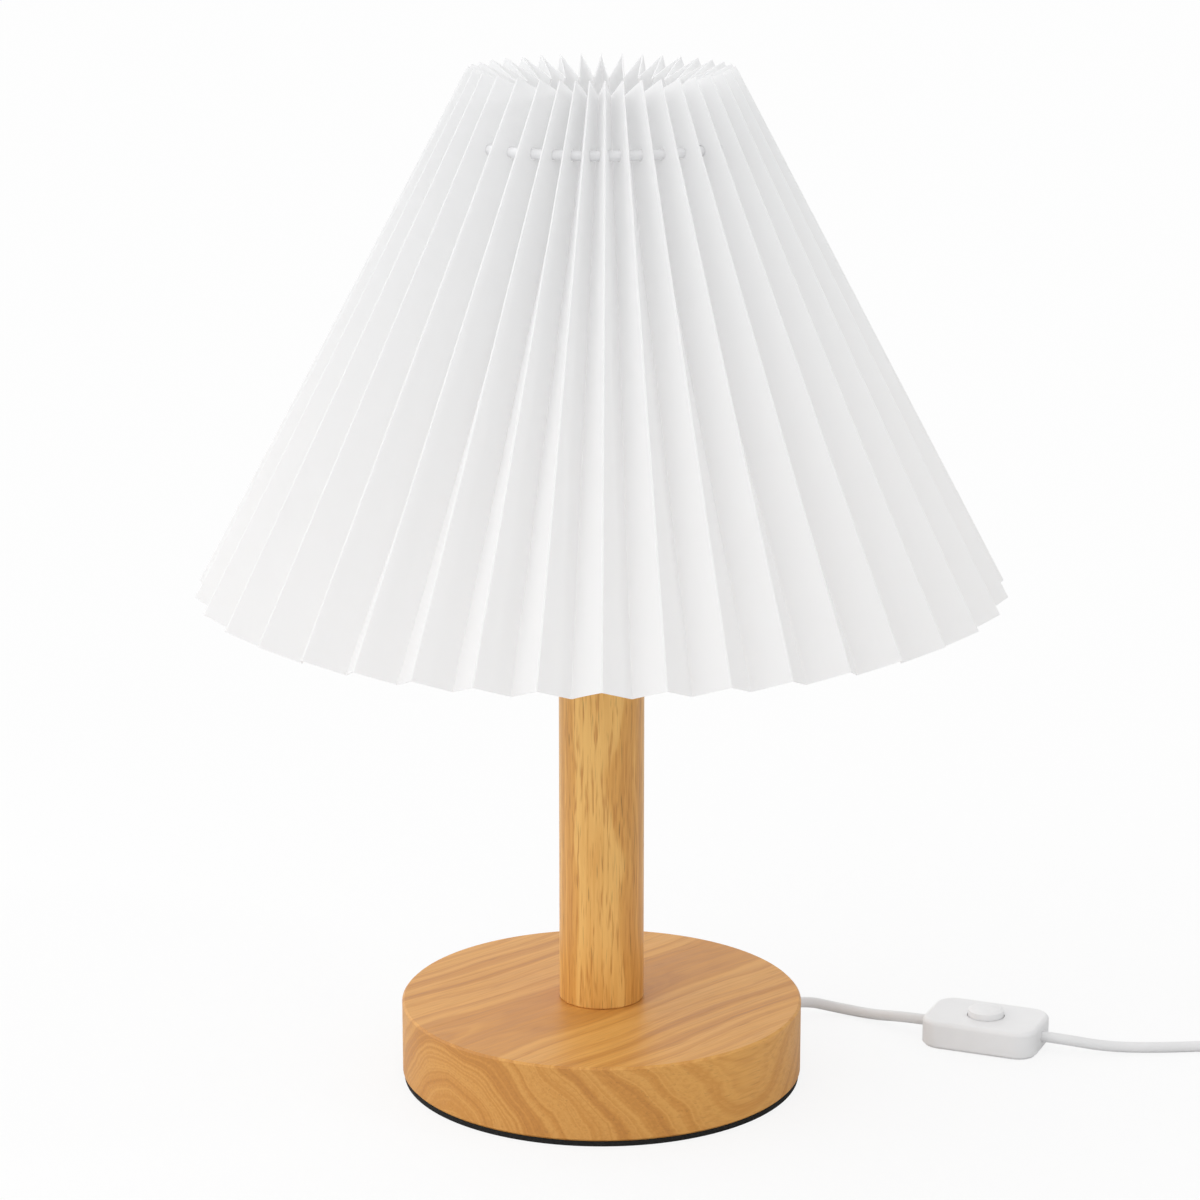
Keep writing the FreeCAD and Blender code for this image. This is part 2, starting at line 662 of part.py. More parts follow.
def make_carrier():
    plate = document.addObject("Part::Cylinder", "plate")
    plate.setExpression("Radius", s.carrier_radius.text)
    plate.setExpression("Height", s.carrier_thickness.text)
    plate.setExpression("Placement.Base.z", flange_top.text)
    seat = s.hook_play + wire_radius
    head_inside = ring_radius - seat - s.hook_wall_inside
    head_outside = ring_radius + seat + s.hook_wall_outside
    foot_inside = s.clamp_ring_radius + 0.7
    arms = []
    for number, fold in enumerate(hook_folds()):
        spot = fold_at_height(fold, ring_height.value)
        body = document.addObject("Part::Extrusion", f"arm_{number}")
        profile = document.addObject("Sketcher::SketchObject", f"arm_outline_{number}")
        corners = (
            (foot_inside - 3, flange_top), (foot_inside + s.arm_depth, flange_top),
            (head_outside - 2, ring_height - 10), (head_outside, ring_height - 6),
            (head_outside, ring_height + 0.8), (ring_radius + seat, ring_height + 0.8),
            (ring_radius + seat, ring_height), (ring_radius - seat, ring_height),
            (ring_radius - seat, ring_height + 2), (head_inside, ring_height + 2),
            (head_inside, ring_height - 6.5), (foot_inside, carrier_top + 3),
            (foot_inside, carrier_top), (foot_inside - 3, carrier_top))
        spots = [Vector(as_size(x).value, as_size(y).value, 0) for x, y in corners]
        bowl = 6
        for index, start in enumerate(spots):
            end = spots[(index + 1) % len(spots)]
            if index == bowl:
                low = (start + end) / 2 - Vector(0, seat.value, 0)
                profile.addGeometry(Part.Arc(start, low, end))
            else:
                profile.addGeometry(Part.LineSegment(start, end))
        for index in range(len(spots)):
            following = (index + 1) % len(spots)
            if index == bowl:
                joined = ("Coincident", index, 1, following, 1)
            elif following == bowl:
                joined = ("Coincident", index, 2, following, 2)
            else:
                joined = ("Coincident", index, 2, following, 1)
            profile.addConstraint(Sketcher.Constraint(*joined))
        for index, (x, y) in enumerate(corners):
            point = 2 if index == bowl else 1
            for place, axis_name in ((x, "DistanceX"), (y, "DistanceY")):
                number_held = profile.addConstraint(
                    Sketcher.Constraint(axis_name, -1, 1, index, point, place.value))
                profile.setExpression(f"Constraints[{number_held}]", place.text)
        held = profile.addConstraint(
            Sketcher.Constraint("DistanceY", -1, 1, bowl, 3, ring_height.value))
        profile.setExpression(f"Constraints[{held}]", ring_height.text)
        upright = Rotation(Vector(1, 0, 0), 90)
        outward = Rotation(Vector(0, 0, 1), math.degrees(math.atan2(spot.y, spot.x)))
        profile.Placement = Placement(Vector(), outward * upright)
        body.Base = profile
        body.DirMode = "Normal"
        body.Solid = True
        body.Symmetric = True
        body.setExpression("LengthFwd", s.arm_thickness.text)
        arms.append(body)
    whole = document.addObject("Part::MultiFuse", "plate_and_arms")
    whole.Shapes = [plate] + arms
    bore = document.addObject("Part::Cylinder", "carrier_bore")
    bore.setExpression("Radius", (s.shell_thread_radius + 0.4).text)
    bore.setExpression("Height", (s.carrier_thickness * 3).text)
    bore.setExpression("Placement.Base.z", (flange_top - s.carrier_thickness).text)
    carrier = document.addObject("Part::Cut", "bored_carrier")
    carrier.Base = whole
    carrier.Tool = bore
    keep(carrier, "shade_carrier")


# ---------------------------------------------------------------- bulb

def make_bulb():
    tip = new_body("bulb_tip")
    turn(tip, ((0, bulb_tip_bottom), (5, bulb_tip_bottom),
               (s.bulb_cap_radius - 1, bulb_cap_bottom), (0, bulb_cap_bottom)))
    cap = new_body("bulb_cap")
    groove = 0.7
    thread_turns = 2
    pitch = (s.bulb_cap_height - 4) / thread_turns
    corners = [(s.bulb_cap_radius - 1, bulb_cap_bottom)]
    for number in range(thread_turns):
        low = bulb_cap_bottom + 1 + pitch * number
        corners.append((s.bulb_cap_radius - groove, low))
        corners.append((s.bulb_cap_radius, low + pitch / 2))
    corners.append((s.bulb_cap_radius - groove, bulb_cap_top - 3))
    corners.append((s.bulb_cap_radius, bulb_cap_top - 2.5))
    corners.append((s.bulb_cap_radius, bulb_cap_top))
    corners.append((0, bulb_cap_top))
    corners.append((0, bulb_cap_bottom))
    turn(cap, corners)
    neck = new_body("bulb_neck")
    turn(neck, ((0, bulb_cap_top), (s.bulb_cap_radius + 0.6, bulb_cap_top),
                (s.bulb_neck_radius, bulb_neck_top), (0, bulb_neck_top)))
    globe_radius = s.globe_diameter / 2
    globe_start = math.acos(s.bulb_neck_radius.value / globe_radius.value)
    globe_centre = bulb_neck_top + globe_radius * math.sin(globe_start)
    corners = []
    for band in range(GLOBE_BANDS):
        angle = -globe_start + (math.pi / 2 + globe_start) * band / GLOBE_BANDS
        corners.append((globe_radius * math.cos(angle),
                        globe_centre + globe_radius * math.sin(angle)))
    corners.append((0, globe_centre + globe_radius))
    corners.append((0, bulb_neck_top))
    globe = new_body("bulb_globe")
    turn(globe, corners)


# ---------------------------------------------------------------- inline switch

switch_place = turned(s.switch_x, s.switch_y, s.switch_turn)
half_length = s.switch_length / 2
half_width = s.switch_width / 2
body_ceiling = s.switch_height - s.switch_wall
tray_top = s.switch_foot + s.switch_tray
flange_high = body_ceiling - s.button_play
flange_low = flange_high - s.button_flange_height
screw_spots = ((s.boss_along, -s.boss_across), (-s.boss_along, s.boss_across))


def make_switch_shells():
    upper = new_body("switch_upper", switch_place)
    height = s.switch_height - s.switch_foot
    raise_from(upper, outline(upper, "XY_Plane", rectangle(half_length, half_width)),
               s.switch_foot, height)
    soften(upper, "PartDesign::Fillet", s.switch_corner, is_upright)
    top = s.switch_height.value
    soften(upper, "PartDesign::Fillet", s.switch_round,
           lambda edge: all(abs(v.Z - top) < 1e-6 for v in edge.Vertexes))
    cavity = cornered(half_length - s.switch_wall, half_width - s.switch_wall,
                      s.switch_corner - s.switch_wall)
    inner = outline(upper, "XY_Plane", cavity)
    before = upper.Tip.Shape.Volume
    cut = raise_from(upper, inner, s.switch_foot, body_ceiling - s.switch_foot,
                     "PartDesign::Pocket", True)
    cut_through(upper, before, cut)
    before = upper.Tip.Shape.Volume
    button_hole = circles(upper, "XY_Plane", ((0, 0, s.button_diameter / 2 + s.button_play),))
    cut = raise_from(upper, button_hole, body_ceiling - 1, s.switch_wall + 2,
                     "PartDesign::Pocket", True)
    cut_through(upper, before, cut)
    before = upper.Tip.Shape.Volume
    cord_hole = circles(upper, "YZ_Plane", ((0, s.switch_lead_height, cord_radius + 0.1),))
    cut = raise_from(upper, cord_hole, -half_length - 1, s.switch_length + 2,
                     "PartDesign::Pocket", True)
    cut_through(upper, before, cut)
    boss_low = tray_top + 0.2
    bosses = circles(upper, "XY_Plane", [(x, y, s.boss_radius) for x, y in screw_spots])
    raise_from(upper, bosses, boss_low, body_ceiling - boss_low + 0.2)
    before = upper.Tip.Shape.Volume
    pilots = circles(upper, "XY_Plane", [(x, y, s.screw_radius) for x, y in screw_spots])
    cut = raise_from(upper, pilots, boss_low, body_ceiling - boss_low - 1,
                     "PartDesign::Pocket", True)
    cut_through(upper, before, cut)

    lower = new_body("switch_lower", switch_place)
    inset = s.switch_foot_inset
    raise_from(lower, outline(lower, "XY_Plane", rectangle(half_length - inset, half_width - inset)),
               0, s.switch_foot)
    soften(lower, "PartDesign::Fillet", s.switch_corner - inset, is_upright)
    clear = s.switch_wall + s.switch_fit
    tray = cornered(half_length - clear, half_width - clear, s.switch_corner - clear)
    raise_from(lower, outline(lower, "XY_Plane", tray), s.switch_foot, s.switch_tray)
    before = lower.Tip.Shape.Volume
    holes = circles(lower, "XY_Plane", [(x, y, s.screw_radius + 0.2) for x, y in screw_spots])
    cut = raise_from(lower, holes, 0, tray_top, "PartDesign::Pocket", True)
    cut_through(lower, before, cut)
    before = lower.Tip.Shape.Volume
    sinks = circles(lower, "XY_Plane", [(x, y, s.screw_head_radius + 0.2) for x, y in screw_spots])
    cut = raise_from(lower, sinks, 0, s.switch_foot + 0.6, "PartDesign::Pocket", True)
    cut_through(lower, before, cut)


def make_button():
    button = new_body("switch_button", switch_place)
    radius = s.button_diameter / 2
    rim = s.switch_height + s.button_rise
    turn(button, ((0, flange_low), (radius + s.button_flange, flange_low),
                  (radius + s.button_flange, flange_high), (radius, flange_high),
                  (radius, rim), (radius * 0.8, rim + s.button_dome * 0.6),
                  (radius * 0.45, rim + s.button_dome * 0.95), (0, rim + s.button_dome)))
    spring = new_body("button_spring", switch_place)
    strip = 0.4
    low = tray_top
    high = flange_low
    raise_from(spring, outline(spring, "XZ_Plane", (
        (-5, low), (4, low), (5, low + strip), (-3, (low + high) / 2),
        (4, high - strip), (4, high), (-4, (low + high) / 2 + strip / 2),
        (-4, (low + high) / 2 - strip / 2), (2, low + strip), (-5, low + strip))), -2, 4)


def make_switch_inside():
    screws = []
    for number, (x, y) in enumerate(screw_spots):
        head = document.addObject("Part::Cylinder", f"screw_head_{number}")
        head.setExpression("Radius", s.screw_head_radius.text)
        head.setExpression("Height", "1.1")
        shank = document.addObject("Part::Cylinder", f"screw_shank_{number}")
        shank.setExpression("Radius", (s.screw_radius - 0.05).text)
        shank.setExpression("Height", (body_ceiling - 2.5).text)
        for piece, bottom in ((head, as_size(0.4)), (shank, as_size(1.4))):
            piece.setExpression("Placement.Base.x", x.text)
            piece.setExpression("Placement.Base.y", y.text)
            piece.setExpression("Placement.Base.z", bottom.text)
        screws += [head, shank]
    both = document.addObject("Part::MultiFuse", "both_screws")
    both.Shapes = screws
    keep(both, "switch_screws", switch_place)

    ends, blocks, bars = [], [], []
    inner_reach = 11.4
    terminal_length = 3
    for number, sign in enumerate((-1, 1)):
        end = document.addObject("Part::Cylinder", f"lead_end_{number}")
        end.setExpression("Radius", cord_radius.text)
        end.setExpression("Height", (half_length - inner_reach).text)
        end.Placement = Placement(Vector(sign * inner_reach, 0, s.switch_lead_height.value),
                                  Rotation(Vector(0, sign, 0), 90))
        ends.append(end)
        block = document.addObject("Part::Box", f"terminal_{number}")
        block.Length = terminal_length
        block.Width = 4
        block.Height = 4
        middle = sign * (inner_reach - terminal_length / 2)
        block.Placement = Placement(
            Vector(middle - terminal_length / 2, -2, s.switch_lead_height.value - 2), Rotation())
        blocks.append(block)
        bar = document.addObject("Part::Box", f"clamp_bar_{number}")
        bar.Length = 3
        bar.Width = 8
        bar.setExpression("Height", (body_ceiling - s.switch_lead_height - cord_radius).text)
        bar.Placement = Placement(
            Vector(sign * 17.5 - 1.5, -4, s.switch_lead_height.value + cord_radius.value),
            Rotation())
        bars.append(bar)
    for label, pieces in (("switch_lead_ends", ends), ("switch_terminals", blocks),
                          ("switch_cord_bars", bars)):
        group = document.addObject("Part::MultiFuse", label + "_group")
        group.Shapes = pieces
        keep(group, label, switch_place)


# ---------------------------------------------------------------- plug

plug_place = turned(s.plug_x, s.plug_y, s.plug_turn)
plug_axis_height = s.plug_thickness / 2
plug_back = s.plug_length + s.plug_relief_length


def make_plug():
    place = plug_place.multiply(Placement(Vector(0, 0, plug_axis_height.value), Rotation()))
    body = new_body("plug_body", place)
    half = s.plug_width / 2
    rear = s.plug_rear_width / 2
    sketch = outline(body, "XY_Plane", (
        (0, -half), (0, half), (-s.plug_length * 0.35, half), (-s.plug_length, rear),
        (-s.plug_length, -rear), (-s.plug_length * 0.35, -half)))
    pad = raise_from(body, sketch, 0, s.plug_thickness)
    pad.Midplane = True
    document.recompute()
    thick = s.plug_thickness.value / 2
    soften(body, "PartDesign::Fillet", s.plug_edge_round,
           lambda edge: all(abs(abs(v.Z) - thick) < 1e-6 for v in edge.Vertexes)
           and not all(abs(v.X) < 1e-6 for v in edge.Vertexes))
    turn_along(body, ((-s.plug_length + 2, 0), (-s.plug_length + 2, rear - 1),
                      (-plug_back, cord_radius + 0.7), (-plug_back, 0)))
    pins, sleeves = [], []
    for number, sign in enumerate((-1, 1)):
        pin = document.addObject("Part::Cylinder", f"pin_{number}")
        pin.setExpression("Radius", (s.pin_diameter / 2).text)
        pin.setExpression("Height", (s.pin_length - 10).text)
        sleeve = document.addObject("Part::Cylinder", f"pin_sleeve_{number}")
        sleeve.setExpression("Radius", (s.pin_diameter / 2 - 0.1).text)
        sleeve.Height = 10
        across = sign * s.pin_spacing.value / 2
        for piece, start in ((pin, 10), (sleeve, 0)):
            piece.Placement = Placement(Vector(start, across, 0), Rotation(Vector(0, 1, 0), 90))
        pins.append(pin)
        sleeves.append(sleeve)
    for label, pieces in (("plug_pins", pins), ("plug_pin_sleeves", sleeves)):
        group = document.addObject("Part::MultiFuse", label + "_group")
        group.Shapes = pieces
        keep(group, label, place)


# ---------------------------------------------------------------- cords

def straight_and_round(points):
    """Straight runs joined by tangent arcs, each as large as its two runs allow."""
    edges, radii, length = [], [], 0.0
    start = points[0]
    for before, corner, after in zip(points, points[1:], points[2:]):
        inward = (corner - before).normalize()
        outward = (after - corner).normalize()
        bend = inward.getAngle(outward)
        shorter = min((corner - before).Length, (after - corner).Length)
        tangent = 0.45 * shorter
        radius = tangent / math.tan(bend / 2)
        first = corner - inward * tangent
        last = corner + outward * tangent
        toward = (outward - inward).normalize()
        middle = corner + toward * (radius / math.cos(bend / 2) - radius)
        edges.append(Part.LineSegment(start, first).toShape())
        edges.append(Part.Arc(first, middle, last).toShape())
        length += (first - start).Length + radius * bend
        radii.append(round(radius, 1))
        start = last
    edges.append(Part.LineSegment(start, points[-1]).toShape())
    length += (points[-1] - start).Length
    return Part.Wire(edges), radii, length


def tube(path, sides):
    """A faceted cord along a wire, ending square to it."""
    edge = path.OrderedEdges[0]
    begin = edge.valueAt(edge.FirstParameter)
    ahead = edge.tangentAt(edge.FirstParameter)
    if path.OrderedVertexes[0].Point.distanceToPoint(begin) > 1e-6:
        begin = edge.valueAt(edge.LastParameter)
        ahead = -edge.tangentAt(edge.LastParameter)
    level = Vector(0, 0, 1).cross(ahead).normalize()
    upward = ahead.cross(level).normalize()
    spots = []
    for number in range(sides):
        angle = 2 * math.pi * (number + 0.5) / sides
        spots.append(begin + (level * math.cos(angle) + upward * math.sin(angle))
                     * cord_radius.value)
    section = Part.makePolygon(spots + [spots[0]])
    return path.makePipeShell([section], True, False)


def lay_cord(label, points):
    path, radii, length = straight_and_round(points)
    solid = tube(path, CORD_SIDES)
    section = CORD_SIDES / 2 * math.sin(2 * math.pi / CORD_SIDES) * cord_radius.value ** 2
    expected = section * length
    print(f"{label}: length {length:.1f} mm, radii {radii}, "
          f"volume {solid.Volume / expected:.4f} of section times length")
    cord = document.addObject("Part::Feature", label + "_tube")
    cord.Shape = solid
    return keep(cord, label)


def biarc(start, start_way, end, end_way):
    """Two arcs that leave start and reach end along the given directions."""
    gap = end - start
    ways = start_way + end_way
    a = 2 * (1 - start_way.dot(end_way))
    b = 2 * gap.dot(ways)
    c = -gap.dot(gap)
    reach = -c / b if abs(a) < 1e-9 else (-b + math.sqrt(b * b - 4 * a * c)) / (2 * a)
    joint = (start + end + (start_way - end_way) * reach) / 2
    arcs = []
    for one, way, two in ((start, start_way, joint), (end, -end_way, joint)):
        chord = two - one
        half_bend = way.getAngle(chord)
        across = (way - chord * (way.dot(chord) / chord.dot(chord))).normalize()
        middle = (one + two) / 2 + across * (chord.Length / 2 * math.tan(half_bend / 2))
        arcs.append(Part.Arc(one, middle, two) if one is start else Part.Arc(two, middle, one))
    return [arc.toShape() for arc in arcs]


def coil_point(turns):
    """The cord's centre after so many turns: spirals in and out, climbing where it reverses."""
    step = s.coil_step.value
    layer_turns = s.coil_turns.value
    layers = int(round(s.coil_layers.value))
    radius, height, left = s.coil_outer_radius.value, cord_radius.value, turns
    inward = -1
    for layer in range(layers):
        spiral = min(left, layer_turns)
        radius += inward * step * spiral
        left -= spiral
        if left <= 0 or layer == layers - 1:
            break
        share = min(left, 0.5) / 0.5
        radius += inward * step * 0.5 * (share - share * share)
        height += step * (1 - math.cos(math.pi * share)) / 2
        left -= 0.5 * share
        if left <= 0:
            break
        inward = -inward
    angle = math.radians(s.coil_start.value + 360 * turns)
    centre = Vector(s.coil_x.value, s.coil_y.value, height)
    return centre + Vector(math.cos(angle), math.sin(angle), 0) * radius


def coil_way(turns):
    small = 1e-4
    return (coil_point(turns + small) - coil_point(turns - small)).normalize()


def coil_total():
    layers = int(round(s.coil_layers.value))
    return layers * s.coil_turns.value + (layers - 1) * 0.5


def least_gap(total):
    """Smallest clearance between turns that lie beside or on each other."""
    count = int(total * 36)
    spots = [coil_point(total * number / count) for number in range(count + 1)]
    nearest = min(spots[one].distanceToPoint(spots[two])
                  for one in range(count) for two in range(one + 20, count + 1))
    return nearest - s.cord_diameter.value


def make_coil():
    total = coil_total()
    arcs_per_turn = 4
    count = int(round(total * arcs_per_turn))
    marks = [total * number / count for number in range(count + 1)]
    spots = [coil_point(mark) for mark in marks]
    ways = [coil_way(mark) for mark in marks]
    ways[0] = Vector(ways[0].x, ways[0].y, 0).normalize()
    ways[-1] = Vector(ways[-1].x, ways[-1].y, 0).normalize()
    lead = s.cord_diameter.value
    entry = spots[0] - ways[0] * lead
    leave = spots[-1] + ways[-1] * lead
    edges = [Part.LineSegment(entry, spots[0]).toShape()]
    for number in range(count):
        edges += biarc(spots[number], ways[number], spots[number + 1], ways[number + 1])
    edges.append(Part.LineSegment(spots[-1], leave).toShape())
    path = Part.Wire(edges)
    coil = document.addObject("Part::Feature", "coil_tube")
    coil.Shape = tube(path, COIL_SIDES)
    keep(coil, "cord_coil")
    print(f"cord_coil: {total:.2f} turns, length {path.Length:.1f} mm, "
          f"least gap {least_gap(total):.2f} mm")
    return entry, ways[0], leave, ways[-1]


def make_grommet():
    grommet = new_body("cord_grommet", slot_turn.multiply(
        Placement(Vector(0, 0, s.lead_height.value), Rotation())))
    tip = base_radius + s.grommet_outside
    inner = tip - s.grommet_length
    body_radius = s.slot_width / 2 - 0.1
    bore = cord_radius + 0.05
    turn_along(grommet, ((inner, bore), (inner, body_radius), (base_radius, body_radius),
                         (tip, s.grommet_tip_radius), (tip, bore)))


def make_inner_lead():
    """From the strain relief through the slot, up the rod and into the holder."""
    outward = Vector(math.cos(math.radians(s.lead_turn.value)),
                     math.sin(math.radians(s.lead_turn.value)), 0)
    level = Vector(0, 0, s.lead_height.value)
    bend = s.lead_bend_radius.value
    start = outward * (base_radius.value + s.grommet_outside.value) + level
    first = outward * bend + level
    middle = outward * (bend - bend * math.sin(math.pi / 4)) + level
    middle += Vector(0, 0, bend - bend * math.cos(math.pi / 4))
    last = level + Vector(0, 0, bend)
    top = Vector(0, 0, insert_top.value - s.insert_height.value)
    path = Part.Wire([Part.LineSegment(start, first).toShape(),
                      Part.Arc(first, middle, last).toShape(),
                      Part.LineSegment(last, top).toShape()])
    lead = document.addObject("Part::Feature", "lead_tube")
    lead.Shape = tube(path, CORD_SIDES)
    keep(lead, "inner_lead")
    return start, outward


def switch_face(sign):
    """Centre of a switch end face, and the way that the switch's axis points."""
    axis = switch_place.Rotation.multVec(Vector(1, 0, 0))
    centre = Vector(s.switch_x.value, s.switch_y.value, s.switch_lead_height.value)
    return centre + axis * (sign * half_length.value), axis


def make_cords():
    grommet_end, outward = make_inner_lead()
    into_switch, axis = switch_face(-1)
    floor = cord_radius.value
    # The cord from the lamp leaves level, comes down onto the floor and rises into the switch.
    lay_cord("lamp_cord", [
        grommet_end,
        grommet_end + outward * 16,
        Vector(95.5, 61.0, 2.4),
        Vector(109.0, 53.5, 2.4),
        into_switch - axis * 11,
        into_switch])
    from_switch, axis = switch_face(1)
    coil_entry, entry_way, coil_leave, leave_way = make_coil()
    # From the switch it lies in one slow bend to the coil.
    lay_cord("plug_cord", [
        from_switch,
        from_switch + axis * 9,
        Vector(197.0, 17.6, 2.6),
        Vector(219.0, 18.4, floor),
        Vector(242.0, 20.8, floor),
        Vector(260.0, 23.8, floor),
        coil_entry - entry_way * 9,
        coil_entry])
    plug_way = plug_place.Rotation.multVec(Vector(1, 0, 0))
    plug_entry = plug_place.multVec(Vector(-plug_back.value, 0, plug_axis_height.value))
    lay_cord("plug_tail", [
        coil_leave,
        coil_leave + leave_way * 16,
        Vector(325.0, 43.5, 12.0),
        Vector(338.0, 60.0, 7.5),
        plug_entry - plug_way * 2,
        plug_entry])


def check_and_write():
    document.recompute()
    for item in document.Objects:
        if "Invalid" in item.State or "Error" in item.State:
            raise RuntimeError(f"{item.Label} is {item.State}")
    os.makedirs("parts", exist_ok=True)
    for piece in parts:
        shape = piece.Shape
        if shape.isNull() or not shape.isValid() or not shape.Solids:
            raise RuntimeError(f"{piece.Label} has no valid solid")
        shape.exportStep(f"parts/{piece.Label}.step")
    print(f"{len(parts)} sub-parts written")


make_base()
make_post()
make_rod()
make_holder()
make_clamp_ring()
make_paper()
make_support_ring()
make_carrier()
make_bulb()
make_switch_shells()
make_button()
make_switch_inside()
make_plug()
make_grommet()
make_cords()
check_and_write()
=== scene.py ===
import json
import math

import bpy
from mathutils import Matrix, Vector, noise


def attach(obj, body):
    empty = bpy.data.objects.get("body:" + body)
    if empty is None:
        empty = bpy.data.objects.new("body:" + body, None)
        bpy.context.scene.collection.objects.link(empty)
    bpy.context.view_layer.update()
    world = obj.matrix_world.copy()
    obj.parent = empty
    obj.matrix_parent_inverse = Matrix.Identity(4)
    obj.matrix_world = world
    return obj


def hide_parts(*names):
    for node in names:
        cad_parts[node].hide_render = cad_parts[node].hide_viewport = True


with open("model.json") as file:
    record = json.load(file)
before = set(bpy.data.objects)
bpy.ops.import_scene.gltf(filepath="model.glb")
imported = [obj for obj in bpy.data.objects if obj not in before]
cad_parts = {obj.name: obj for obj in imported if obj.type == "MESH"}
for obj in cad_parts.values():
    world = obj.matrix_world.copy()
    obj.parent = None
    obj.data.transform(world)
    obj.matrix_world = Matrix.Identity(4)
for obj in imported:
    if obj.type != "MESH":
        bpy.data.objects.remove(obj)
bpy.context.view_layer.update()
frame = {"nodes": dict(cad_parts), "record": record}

# A pleated paper table lamp, in metres. +Z is up and -Y is the lamp's front.
nodes = frame["nodes"]


# ---------------------------------------------------------------- camera

PHOTO_WIDTH = 1200
FOCAL_PIXELS = 3650
SENSOR_WIDTH = 36.0
FAR_CLIP = 60.0
CAMERA_PLACE = (-0.0006, -1.314, 0.5165)
CAMERA_PITCH = math.radians(14.12)


def place_camera():
    data = bpy.data.cameras.new("camera")
    data.sensor_width = SENSOR_WIDTH
    data.lens = SENSOR_WIDTH * FOCAL_PIXELS / PHOTO_WIDTH
    data.clip_end = FAR_CLIP
    camera = bpy.data.objects.new("camera", data)
    camera.location = CAMERA_PLACE
    camera.rotation_euler = (math.pi / 2 - CAMERA_PITCH, 0.0, 0.0)
    bpy.context.collection.objects.link(camera)
    bpy.context.scene.camera = camera


# ---------------------------------------------------------------- node graphs

class Graph:
    """A material and short ways to add nodes to it. Its coordinates are the object's, in metres."""

    def __init__(self, name):
        self.material = bpy.data.materials.new(name)
        self.material.use_nodes = True
        self.tree = self.material.node_tree
        self.tree.nodes.clear()
        self.output = self.tree.nodes.new("ShaderNodeOutputMaterial")
        self.place = self.tree.nodes.new("ShaderNodeTexCoord").outputs["Object"]

    def put(self, socket, value):
        if isinstance(value, bpy.types.NodeSocket):
            self.tree.links.new(value, socket)
        elif value is not None:
            socket.default_value = value

    def math(self, operation, *values, clamp=False):
        node = self.tree.nodes.new("ShaderNodeMath")
        node.operation = operation
        node.use_clamp = clamp
        for socket, value in zip(node.inputs, values):
            self.put(socket, value)
        return node.outputs[0]

    def vector(self, operation, *values, output=0):
        node = self.tree.nodes.new("ShaderNodeVectorMath")
        node.operation = operation
        for socket, value in zip(node.inputs, values):
            self.put(socket, value)
        return node.outputs[output]

    def turned(self, vector, rotation=(0, 0, 0), scale=(1, 1, 1), shift=(0, 0, 0)):
        node = self.tree.nodes.new("ShaderNodeMapping")
        self.put(node.inputs["Vector"], vector)
        node.inputs["Location"].default_value = shift
        node.inputs["Rotation"].default_value = rotation
        node.inputs["Scale"].default_value = scale
        return node.outputs[0]

    def noise(self, vector, scale, detail=3.0, roughness=0.5):
        node = self.tree.nodes.new("ShaderNodeTexNoise")
        self.put(node.inputs["Vector"], vector)
        node.inputs["Scale"].default_value = scale
        node.inputs["Detail"].default_value = detail
        node.inputs["Roughness"].default_value = roughness
        return node.outputs[0]

    def noise_line(self, value, scale, detail=3.0, roughness=0.5):
        node = self.tree.nodes.new("ShaderNodeTexNoise")
        node.noise_dimensions = "1D"
        self.put(node.inputs["W"], value)
        node.inputs["Scale"].default_value = scale
        node.inputs["Detail"].default_value = detail
        node.inputs["Roughness"].default_value = roughness
        return node.outputs[0]

    def ramp(self, value, stops):
        node = self.tree.nodes.new("ShaderNodeValToRGB")
        self.put(node.inputs[0], value)
        elements = node.color_ramp.elements
        while len(elements) < len(stops):
            elements.new(0.5)
        for element, (position, color) in zip(elements, stops):
            element.position = position
            element.color = (*color, 1.0)
        return node.outputs[0]

    def span(self, value, low, high, to_low=0.0, to_high=1.0):
        node = self.tree.nodes.new("ShaderNodeMapRange")
        for name, number in (("Value", value), ("From Min", low), ("From Max", high),
                             ("To Min", to_low), ("To Max", to_high)):
            self.put(node.inputs[name], number)
        return node.outputs[0]

    def mix(self, share, one, two):
        node = self.tree.nodes.new("ShaderNodeMix")
        node.data_type = "RGBA"
        for index, value in ((0, share), (6, one), (7, two)):
            if isinstance(value, tuple) and len(value) == 3:
                value = (*value, 1.0)
            self.put(node.inputs[index], value)
        return node.outputs[2]

    def bump(self, height, strength, distance):
        node = self.tree.nodes.new("ShaderNodeBump")
        self.put(node.inputs["Height"], height)
        node.inputs["Strength"].default_value = strength
        node.inputs["Distance"].default_value = distance
        return node.outputs[0]

    def principled(self, color, roughness, metallic=0.0, specular=0.5, coat=0.0,
                   coat_roughness=0.1, normal=None):
        node = self.tree.nodes.new("ShaderNodeBsdfPrincipled")
        self.put(node.inputs["Base Color"], (*color, 1.0) if isinstance(color, tuple) else color)
        self.put(node.inputs["Roughness"], roughness)
        node.inputs["Metallic"].default_value = metallic
        node.inputs["Specular IOR Level"].default_value = specular
        node.inputs["Coat Weight"].default_value = coat
        node.inputs["Coat Roughness"].default_value = coat_roughness
        self.put(node.inputs["Normal"], normal)
        return node.outputs[0]

    def join(self, kind, one, two, share=None):
        """Two shaders mixed or added, by the name of the node that does it."""
        node = self.tree.nodes.new(kind)
        if share is not None:
            self.put(node.inputs[0], share)
        self.tree.links.new(one, node.inputs[-2])
        self.tree.links.new(two, node.inputs[-1])
        return node.outputs[0]

    def finish(self, shader):
        self.tree.links.new(shader, self.output.inputs["Surface"])
        return self.material


def srgb(red, green, blue):
    """A colour read in 0 to 255 display values, as linear light."""
    linear = []
    for value in (red, green, blue):
        share = value / 255
        linear.append(share / 12.92 if share <= 0.04045 else ((share + 0.055) / 1.055) ** 2.4)
    return tuple(linear)


# ---------------------------------------------------------------- materials

